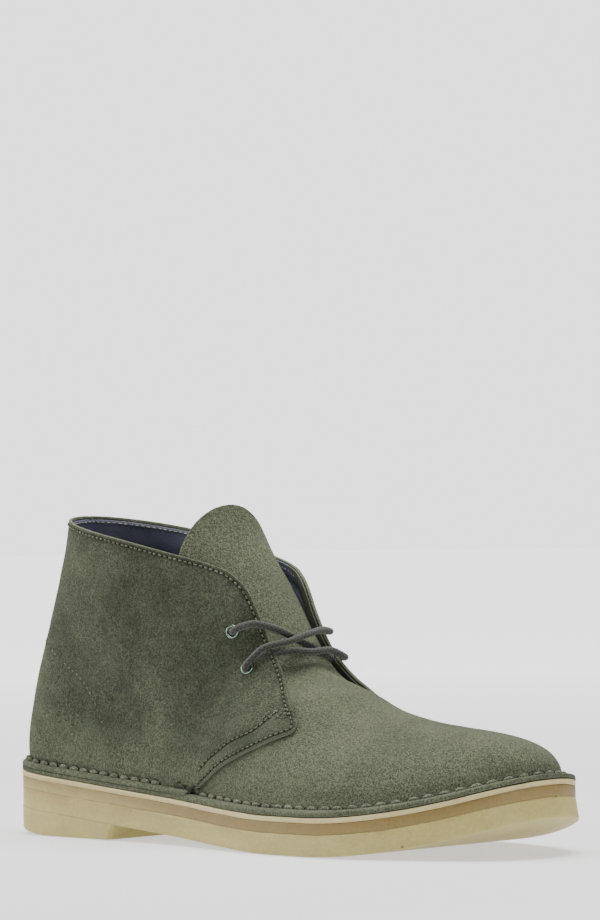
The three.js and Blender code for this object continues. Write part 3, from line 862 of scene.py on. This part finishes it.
def quarters():
    grid = quarter_shell(QUARTER_STEP, QUARTER_EDGE)
    points = grid.reshape(-1, 3)
    quads = grid_faces(numbered(*grid.shape[:2]))
    rows = []
    for side in SIDES.values():
        rows.append(inset_path(side, EDGE_INSET)[0][SEAM_FOOT:])
        rows.append(on_quarter(smooth(SECOND_ROW, 160), side)[0])
    near = distance_to(points, rows)
    counter = distance_to(points, [on_quarter(smooth(COUNTER, 200), side)[0] for side in SIDES.values()])
    dip = 0.28 * hollow(near, 0.75) + 0.12 * hollow(counter, 0.8)
    points = points - vertex_normals(points, quads) * dip[:, None]
    height = points[:, 2] - sole_top(points[:, 0])
    row = np.arange(len(points)) // grid.shape[1]
    # painted shade: darker along the stitch rows, the counter's stitches and the crease, and over the middle
    # of the quarters' sides
    painted_shade = 0.7 * hollow(near, 0.7) + 0.25 * hollow(counter, 0.7)
    painted_shade = painted_shade + CREASE_PAINTED_SHADE * hollow(height - 4.2, 1.0) * (row > DARK_FROM)
    painted_shade = painted_shade + 0.2 * ease(height, 8, 40) * ease(points[:, 0], 10, 60)
    # painted light: lighter low down and towards the back of the heel
    shade = 0.5 * (1 - ease(height, 8, 34)) + 0.6 * (1 - ease(points[:, 0], -5, 40))
    points, quads = open_holes(points, quads)
    sheet("quarters", points, quads, QUARTER_SKIN, SUEDE_LOOK, "suede", ("upper",),
          {"shade": shade, "painted_shade": painted_shade})


def quarter_lining():
    grid = quarter_shell(-0.1, None)[:-1, 2:-2]
    rows, columns = grid.shape[:2]
    from_top = (rows - 1 - np.arange(rows))[:, None] * 1.2
    j = np.arange(columns)
    from_front = np.minimum(j, columns - 1 - j)[None, :] * 0.8
    near = np.minimum(from_top, from_front)
    thickness = LINING_EDGE + (LINING_SKIN - LINING_EDGE) * ease(near, 0, 9)
    points, quads = open_holes(grid.reshape(-1, 3), grid_faces(numbered(rows, columns)))
    facing = 1 - ease(from_front + 0 * from_top, 11, 15)
    sheet("quarter_lining", points, quads, thickness.reshape(-1), LINING_LOOK, "lining", ("upper",),
          {"facing": facing.reshape(-1)})


def under_edge():
    """The layer between the quarters' turned-out edge and the midsole."""
    def one(side):
        s = np.linspace(0.585, 1, 110)
        return foot_rows(UNDER_EDGE, s, side)
    grid = both_sides(one)
    quads = grid_faces(numbered(*grid.shape[:2]))
    # painted light: shade 0.3 lightens the whole under edge
    sheet("under_edge", grid.reshape(-1, 3), quads, 1.0, SUEDE_LOOK, "suede", ("upper",), {"shade": 0.3})


# Stitches

BEAD_ROUND, BEAD_ALONG = 8, 7


def beads(name, centres, along, out, size, material, slot, nodes=()):
    """Rounded stitches at centres, each size = (length, width, height) long, wide and high."""
    points, faces = [], []
    t = np.linspace(-1, 1, BEAD_ALONG)
    for c, a, n in zip(centres, along, out):
        a = a / np.linalg.norm(a)
        n = n - a * (n @ a)
        n /= np.linalg.norm(n)
        b = np.cross(a, n)
        faces += tube_faces(BEAD_ALONG, BEAD_ROUND, len(points))
        for x in t:
            r = math.sqrt(max(0.0, 1 - abs(x) ** 2.4)) * 0.95 + 0.05
            for k in range(BEAD_ROUND):
                w = 2 * math.pi * k / BEAD_ROUND
                arch = size[2] * 0.35 * (1 - x * x)
                points.append(c + a * x * size[0] / 2 + b * math.cos(w) * r * size[1] / 2
                              + n * (math.sin(w) * r * size[2] / 2 + arch))
    return add_piece(name, np.array(points), faces, material, slot, nodes)


def stitched(name, path, out, pitch, size, sink=0.0, holes=True, seed=1, material=None):
    """A row of stitches along a path with outward directions, and dark beads of painted shadow in the small
    holes between them.
    """
    run = run_along(path)
    count = max(2, int(run[-1] / pitch))
    at = (np.arange(count) + 0.5) * run[-1] / count
    rng = np.random.default_rng(seed)
    at = at + rng.uniform(-0.06, 0.06, count) * pitch
    pick = lambda values, where: np.stack([np.interp(where, run, values[:, k]) for k in range(3)], -1)
    slope = np.gradient(path, axis=0)
    normals = pick(out, at)
    normals /= np.linalg.norm(normals, axis=1, keepdims=True)
    centres = pick(path, at) - normals * sink
    beads(name, centres, pick(slope, at), normals, size, material or THREAD_LOOK, "suede")
    if holes:
        # painted shadow: dark beads in the holes between the stitches
        where = at[:-1] + np.diff(at) / 2
        side_out = pick(out, where)
        side_out /= np.linalg.norm(side_out, axis=1, keepdims=True)
        hole_size = (pitch - size[0] + 0.2, size[1] * 1.15, 0.3)
        beads(name + "_holes", pick(path, where) - side_out * 0.08, pick(slope, where), side_out,
              hole_size, STITCH_SHADOW_LOOK, "suede")


def on_quarter(shares, side):
    """Points of a quarter's face at side view shares, with the outward directions there."""
    s, v = from_side(shares, side, QUARTER_STEP)
    return quarter_face(s, side, v), normal(s, side, v)


EDGE_INSET = 1.8
SEAM_FOOT = 12  # points of the inset path that the stitches leave free beside the crease
FINE = (1.9, 0.75, 0.6)  # length, width and height of a stitch
FINE_PITCH = 2.7
COARSE = (1.5, 0.8, 0.5)
CREASE_PITCH = 6.8
CREASE = (5.3, 2.1, 1.8)
CREASE_SHADOW = (6.2, 3.4, 0.8)  # the dark lens of painted shadow round a stitch of the crease
CREASE_LIFT = 0.55


def inset_path(side, inset, distance=QUARTER_STEP):
    """A line on the quarter's face that keeps inset from its front and collar edge, foot to back."""
    s_front, v_front = front_edge(side, QUARTER_STEP, 200)
    s_collar = np.linspace(s_front[-1], 1, 160)[1:]
    s = np.concatenate([s_front, s_collar])
    v = np.concatenate([v_front, np.ones_like(s_collar)])
    edge = quarter_face(s, side, v, distance)
    out = normal(s, side, np.minimum(v, 0.985))
    slope = np.gradient(edge, axis=0)
    slope /= np.linalg.norm(slope, axis=1, keepdims=True)
    inward = np.cross(out, slope) * -side
    both = even_steps(np.hstack([edge + inward * inset, out]), 400)
    return both[:, :3], both[:, 3:]


def seam_stitches():
    for name, side in SIDES.items():
        path, out = inset_path(side, EDGE_INSET)
        stitched("edge_stitches_" + name, path[SEAM_FOOT:], out[SEAM_FOOT:], FINE_PITCH, FINE, seed=side + 5)
        path, out = on_quarter(smooth(SECOND_ROW, 90), side)
        stitched("second_row_" + name, path, out, FINE_PITCH, FINE, seed=side + 7)
        path, out = on_quarter(smooth(COUNTER, 140), side)
        stitched("counter_stitches_" + name, path, out, 3.0, COARSE, sink=0.1, holes=False, seed=side + 9)
        s = np.full(120, 1 - 2.6 / GIRTH)
        v = np.linspace(0.1, 0.985, 120)
        stitched("back_stitches_" + name, quarter_face(s, side, v), normal(s, side, v), FINE_PITCH, FINE,
                 seed=side + 13)
        path, out = inset_path(side, EDGE_INSET + 0.6, -0.95)
        stitched("lining_stitches_" + name, path[40:], -out[40:], FINE_PITCH, FINE, holes=False,
                 seed=side + 15, material=PALE_THREAD_LOOK)
        bartack(name, side)


def bartack(name, side):
    """A zigzag of stitches that locks the end of the second row."""
    zig = []
    for k in range(9):
        share = k / 8
        x = 0.618 - 0.05 * share
        z = 0.408 - 0.012 * share + (0.012 if k % 2 else -0.012)
        zig.append((x, z))
    path, out = on_quarter(even_steps(np.array(zig), 90), side)
    stitched("bartack_" + name, path, out, 2.1, (1.7, 0.7, 0.6), seed=side + 17)


def crease_path(profile, groove, s_from, s_to, lift):
    """The groove between the wall and the turned-out edge on both sides, round the toe or the heel."""
    out_mm, height = profile[groove]

    def one(side):
        s = np.linspace(s_from, s_to, 240)
        return foot_rows([(out_mm, height + lift)], s, side)[0], foot_line(s, side)[1]
    outer, inner = one(-1), one(1)
    path = np.concatenate([outer[0], inner[0][-2::-1]])
    out = np.concatenate([outer[1], inner[1][-2::-1]]) + np.array([0, 0, 1.1])
    return path, out


def crease_stitches():
    rows = [("vamp", VAMP_EDGE, VAMP_CREASE, 0.55, 0.0),
            ("quarters", QUARTER_EDGE, QUARTER_CREASE, 0.63, 1.0)]
    for seed, (name, profile, groove, s_from, s_to) in enumerate(rows, 21):
        path, out = crease_path(profile, groove, s_from, s_to, CREASE_LIFT)
        stitched("crease_stitches_" + name, path, out, CREASE_PITCH, CREASE, holes=False, seed=seed)
        # painted shadow: dark lenses sunk under each crease stitch
        stitched("crease_shadow_" + name, path, out, CREASE_PITCH, CREASE_SHADOW, sink=0.45, holes=False,
                 seed=seed, material=STITCH_SHADOW_LOOK)


# Eyelets


def eyelet(name, side, shares):
    """An enamelled eyelet: a rolled rim on the suede, a barrel and a flat rim inside."""
    centre, out = on_quarter([shares], side)
    centre, out = centre[0], out[0]
    rim = 0.65
    profile = []
    for k in range(13):
        a = math.pi * k / 12
        profile.append((EYELET_BORE + (EYELET_RADIUS + 0.2 - EYELET_BORE) * (1 - math.cos(a)) / 2,
                        0.15 + math.sin(a) * rim))
    low = -SUEDE - QUARTER_STEP - 0.7
    profile += [(EYELET_BORE + 0.35, 0.2), (EYELET_BORE + 0.3, low), (EYELET_RADIUS, low - 0.1),
                (EYELET_RADIUS, low - 0.5), (EYELET_BORE, low - 0.5), (EYELET_BORE, 0.3)]
    turn = Vector((0, 0, 1)).rotation_difference(Vector(out)).to_matrix()
    count = 40
    points = []
    for k in range(count):
        a = 2 * math.pi * k / count
        for r, h in profile:
            points.append(centre + np.array(turn @ Vector((r * math.cos(a), r * math.sin(a), h))))
    faces = grid_faces(np.pad(numbered(count, len(profile)), (0, 1), mode="wrap"))
    add_piece(name + "_enamel", np.array(points), faces, ENAMEL_LOOK, "eyelet_enamel", (name,))


# The lace

STRANDS = 5
LACE_ROUND = 30
BRAID_TURN = 3.0  # per mm of length


def facing_point(x, z, side, out):
    """A point at side view shares that stands out from the quarter's face."""
    point, way = on_quarter([(x, z)], side)
    return point[0] + way[0] * out


def lace_route():
    """From behind the upper outer eyelet through the lower ones to behind the upper inner one."""
    r = LACE_RADIUS
    out, behind = r + 0.5, -SUEDE - QUARTER_STEP - r - 1.0
    up, low = EYELETS["upper"], EYELETS["lower"]
    f = facing_point
    return np.array([
        f(up[0] - 0.005, up[1] + 0.03, -1, behind - 1.0), f(*up, -1, behind + 1.2), f(*up, -1, -0.5),
        f(up[0] + 0.004, up[1] + 0.002, -1, 1.6), f(0.487, 0.655, -1, out + 0.3),
        f(0.505, 0.66, -1, out + 0.8), (157.8, -9.5, 92.6), (160.5, 1.0, 87.4), (162.0, 12.0, 82.6),
        f(0.532, 0.548, 1, -1.5), f(0.522, 0.54, 1, behind - 0.3),
        f(low[0] + 0.006, low[1], 1, behind + 0.4), f(*low, 1, -1.0), f(low[0], low[1] + 0.002, 1, 1.6),
        f(0.515, 0.538, 1, out + 0.4), f(0.532, 0.548, 1, out + 0.4), f(0.546, 0.55, 1, out + 0.2),
        (166.9, 12.0, 83.6), (167.2, 0.0, 83.3), (164.8, -10.0, 84.0),
        f(0.522, 0.572, -1, -1.0), f(0.514, 0.56, -1, behind - 0.2),
        f(low[0] + 0.004, low[1] + 0.012, -1, behind + 0.2), f(*low, -1, -1.0),
        f(low[0], low[1] - 0.002, -1, 1.6), f(0.512, 0.556, -1, out + 0.4),
        f(0.525, 0.588, -1, out + 0.7), (163.0, -10.0, 88.0), (163.2, 2.0, 90.8), (160.0, 14.0, 92.4),
        f(0.517, 0.63, 1, out + 0.3), f(0.5, 0.632, 1, out + 0.2),
        f(up[0] + 0.012, up[1] - 0.004, 1, out + 0.2), f(*up, 1, 0.6), f(*up, 1, -2.0),
        f(up[0] - 0.004, up[1] + 0.02, 1, behind - 1.2),
    ])


def lace():
    route = smooth(lace_route(), 1000)
    run = run_along(route)
    slope = np.gradient(route, axis=0)
    slope /= np.linalg.norm(slope, axis=1, keepdims=True)
    up = np.array([0.3, 0.2, 0.93])
    rings, marks = [], []
    w = 2 * math.pi * np.arange(LACE_ROUND) / LACE_ROUND
    for p, a, length in zip(route, slope, run):
        up = up - a * (up @ a)
        up /= np.linalg.norm(up)
        across = np.cross(a, up)
        one = np.cos(STRANDS * w + BRAID_TURN * length)
        other = np.cos(STRANDS * w - BRAID_TURN * length)
        weave = np.maximum(one, other)
        r = LACE_RADIUS - 0.1 + 0.12 * weave
        rings.append(p + np.outer(r * np.cos(w), across) + np.outer(r * np.sin(w) * 0.94, up))
        # painted light and shade: the strand mark is high on the weave's crests and low between the strands
        marks.append(np.clip(0.5 + 0.5 * weave, 0, 1) ** 2)
    add_piece("lace_cord", np.concatenate(rings), tube_faces(len(rings), LACE_ROUND), LACE_LOOK, "lace_cord",
              ("lace",), {"strand": np.concatenate(marks)})


# The sole


SOLE_WAVE, SOLE_UNEVEN = 17, 0.12  # size and depth of the waves in the sole's sides


def outline(count, grow, seed):
    """The sole's outline on each side, toe to heel, grown by a distance, slightly uneven."""
    s = np.linspace(0, 1, count) ** 0.9
    sides = []
    for side in (-1, 1):
        foot, way = foot_line(s, side)
        uneven = ripple(foot + way * grow, SOLE_WAVE, SOLE_UNEVEN, seed)
        sides.append((foot, way, grow + uneven))
    return sides


def level_tone(x, share):
    """No change of colour."""
    return 0 * x


def layer(name, top, bottom, rows, material, slot, node, seed, tint=level_tone, fade=level_tone,
          grow=FLANGE, flare=0.0):
    """A sole layer: rows = (inset, share of its height from the top), between two heights along the boot."""
    rings, tints, fades = [], [], []
    sides = outline(260, grow, seed)
    for inset, share in rows:
        ring = []
        for foot, way, out in sides:
            wide = np.maximum(0, 1 - inset) * flare * share * ease(foot[:, 0], 215, 290)
            over_heel = 1 - ease(foot[:, 0], HEEL_BREAST - 6, HEEL_BREAST + 6)
            here = inset * (1 - over_heel * (share > 0.5) * (inset < 1))
            p = foot + way * (out - here + wide)[:, None]
            p[:, 2] = top(p[:, 0]) * (1 - share) + bottom(p[:, 0]) * share
            ring.append(p)
        rings.append(np.stack(ring))
        tints.append(tint(rings[-1][..., 0], share))
        fades.append(fade(rings[-1][..., 0], share))
    points = np.array(rings)
    number = np.arange(points[..., 0].size).reshape(points.shape[:3])
    faces = []
    for side in (0, 1):
        faces += [*grid_faces(number[:, side])]
    faces += [*grid_faces(number[0]), *grid_faces(number[-1])]
    add_piece(name, points.reshape(-1, 3), faces, material, slot, (node,),
              {"tint": np.array(tints).reshape(-1), "fade": np.array(fades).reshape(-1)})


ROUNDED = [(7, 0.0), (0.2, 0.0), (0.04, 0.02), (0, 0.1), (0, 0.3), (0, 0.5), (0, 0.7), (0, 0.9),
           (0.08, 0.97), (0.3, 1.0), (0.5, 1.0), (7, 1.0)]
THIN = [(7, 0.0), (0.25, 0.0), (0.05, 0.06), (0, 0.2), (0, 0.5), (0, 0.8), (0.05, 0.94), (0.2, 1.0), (7, 1.0)]


TOUCH = 0.02  # the sole's layers are seen to touch, and come this near


def sole():
    heelward = lambda x: 1 - ease(x, 60, 150)
    layer("midsole_sheet", sole_top, lambda x: sole_top(x) - MIDSOLE, THIN, CREAM_LOOK, "cream_rubber",
          "midsole", 31, tint=lambda x, share: 0.5 * share + 0.5 * heelward(x) * (share > 0.4))
    tan_top = lambda x: sole_top(x) - MIDSOLE - TOUCH
    layer("crepe_middle_sheet", tan_top, lambda x: sole_top(x) - MIDSOLE - GAP - CREPE_MIDDLE, THIN, TAN_LOOK,
          "tan_crepe", "crepe_middle", 32, tint=lambda x, share: -0.35 * share + 0 * x,
          fade=lambda x, share: 0.15 * share + heelward(x) * (0.2 + 0.4 * share))
    pale_top = lambda x: sole_top(x) - STACK + OUTSOLE + GAP - TOUCH
    layer("outsole_sheet", pale_top, lambda x: sole_top(x) - STACK,
          ROUNDED, PALE_LOOK, "pale_crepe", "outsole", 33, flare=1.3,
          tint=lambda x, share: (0.25 + 0.3 * heelward(x)) * max(0.0, 1 - share * 1.2))
    layer("insole_sock", lambda x: sole_top(x) + GAP + INSOLE, lambda x: sole_top(x) + GAP, THIN, LINING_LOOK,
          "lining", "insole", 34, grow=-SUEDE - INSOLE_CLEAR)


HEEL_CORNER, BREAST_CORNER = 1.6, 1.8  # how far the rounding of the breast's corners runs along each face


def heel():
    """The heel block: its sides follow the sole, its back edge clears the floor, its breast leans."""
    shares = [0, 0.01, 0.03, 0.07, 0.15, 0.3, 0.5, 0.7, 0.85, 0.97, 1.0]
    insets = [1.0, 0.45, 0.2, 0.05, 0, 0, 0, 0, 0, 0, 0]
    count = 90
    rings = []
    for share, inset in zip(shares, insets):
        ring = []
        breast_x = HEEL_BREAST - BREAST_SLANT / 2 + BREAST_SLANT * share - inset
        fine = np.linspace(0.55, 1, 600)
        ends = {}
        for side in (-1, 1):
            foot, way = foot_line(fine, side)
            uneven = ripple(foot, SOLE_WAVE, SOLE_UNEVEN, 35)
            p = foot + way * (FLANGE + uneven - inset)[:, None]
            start = np.argmax(p[:, 0] <= breast_x - HEEL_CORNER)
            p = p[start:]
            ends[side] = even_steps(p, count)
        y_outer, y_inner = ends[-1][0, 1], ends[1][0, 1]
        from_outer, from_inner = (breast_x, y_outer + BREAST_CORNER), (breast_x, y_inner - BREAST_CORNER)
        outer_corner = bend(ends[-1][0, :2], (breast_x, y_outer), from_outer, 6)
        inner_corner = bend(from_inner, (breast_x, y_inner), ends[1][0, :2], 6)
        front = np.linspace(from_outer, from_inner, 26)
        ring = np.vstack([ends[1][:, :2], ends[-1][::-1, :2][1:], outer_corner[1:], front[1:],
                          inner_corner[1:-1]])
        x = ring[:, 0]
        low = HEEL_BEVEL * np.maximum(0, 1 - x / BEVEL_LENGTH) ** 1.5
        high = sole_top(x) - STACK - TOUCH
        z = low + (high - low) * share
        rings.append(np.column_stack([ring, z]))
    points = np.array(rings)
    # painted shade: the breast's face is tinted warmer and darker
    tint = 0.12 * ease(points[..., 0], 70, 78)
    add_piece("heel_block", points.reshape(-1, 3), tube_faces(*points.shape[:2]), PALE_LOOK, "pale_crepe",
              ("heel",), {"tint": tint.reshape(-1)})


# Camera, light and floor

AZIMUTH, ELEVATION, ROLL = 44.48, -1.078, -0.899
DISTANCE = 1.7
TARGET = Vector((0.12308, 0, 0.1668))
FOCAL_PIXELS = 3897.6
PICTURE_HEIGHT = 920


def camera():
    az, el, roll = (math.radians(a) for a in (AZIMUTH, ELEVATION, ROLL))
    back = Vector((math.sin(az) * math.cos(el), -math.cos(az) * math.cos(el), math.sin(el)))
    level = Vector((math.cos(az), math.sin(az), 0))
    up = back.cross(level)
    right = math.cos(roll) * level + math.sin(roll) * up
    up = -math.sin(roll) * level + math.cos(roll) * up
    data = bpy.data.cameras.new("camera")
    data.sensor_width = 36
    data.lens = FOCAL_PIXELS * data.sensor_width / PICTURE_HEIGHT
    made = bpy.data.objects.new("camera", data)
    bpy.context.collection.objects.link(made)
    turn = Matrix((right, up, back)).transposed()
    made.matrix_world = Matrix.Translation(TARGET + back * DISTANCE) @ turn.to_4x4()
    bpy.context.scene.camera = made


def lamp(name, place, size, power, color=(1, 1, 1)):
    data = bpy.data.lights.new(name, "AREA")
    data.shape = "DISK"
    data.size = size
    data.energy = power
    data.color = color
    made = bpy.data.objects.new(name, data)
    made.location = place
    aim = Vector((0.1, 0, 0.07)) - Vector(place)
    made.rotation_euler = aim.to_track_quat("-Z", "Y").to_euler()
    bpy.context.collection.objects.link(made)


def sky():
    """Soft light all round, and a bright backdrop on the far side of the boot."""
    world_made = bpy.data.worlds.new("studio")
    world_made.use_nodes = True
    tree = world_made.node_tree
    background = tree.nodes["Background"]
    background.inputs["Color"].default_value = (1, 1, 1, 1)
    place = tree.nodes.new("ShaderNodeTexCoord").outputs["Generated"]
    facing = tree.nodes.new("ShaderNodeVectorMath")
    facing.operation = "DOT_PRODUCT"
    tree.links.new(place, facing.inputs[0])
    az = math.radians(AZIMUTH)
    facing.inputs[1].default_value = (-math.sin(az), math.cos(az), 0)
    span = tree.nodes.new("ShaderNodeMapRange")
    span.interpolation_type = "SMOOTHSTEP"
    tree.links.new(facing.outputs["Value"], span.inputs["Value"])
    for name, number in (("From Min", 0.8), ("From Max", 0.97), ("To Min", AROUND_LIGHT),
                         ("To Max", BACKDROP_LIGHT)):
        span.inputs[name].default_value = number
    tree.links.new(span.outputs["Result"], background.inputs["Strength"])
    bpy.context.scene.world = world_made


def studio():
    floor_size = 20
    mesh = bpy.data.meshes.new("floor")
    corners = [(-1, -1), (1, -1), (1, 1), (-1, 1)]
    mesh.from_pydata([(x * floor_size, y * floor_size, -0.0002) for x, y in corners], [], [(0, 1, 2, 3)])
    floor = bpy.data.objects.new("floor", mesh)
    bpy.context.collection.objects.link(floor)
    mesh.materials.append(light_table("floor_paper", 0.45))
    lamp("softbox_top", (0.1, 0.05, 1.5), 1.5, 62)
    lamp("softbox_front", (1.4, -0.3, 0.2), 0.6, 5)
    lamp("rim_back", (-1.2, -0.9, 0.6), 0.7, 19)
    sky()


vamp_and_tongue()
quarters()
quarter_lining()
under_edge()
seam_stitches()
crease_stitches()
for level_name, shares in EYELETS.items():
    for side_name, side_sign in SIDES.items():
        eyelet(f"eyelet_{side_name}_{level_name}", side_sign, shares)
lace()
sole()
heel()
camera()
studio()
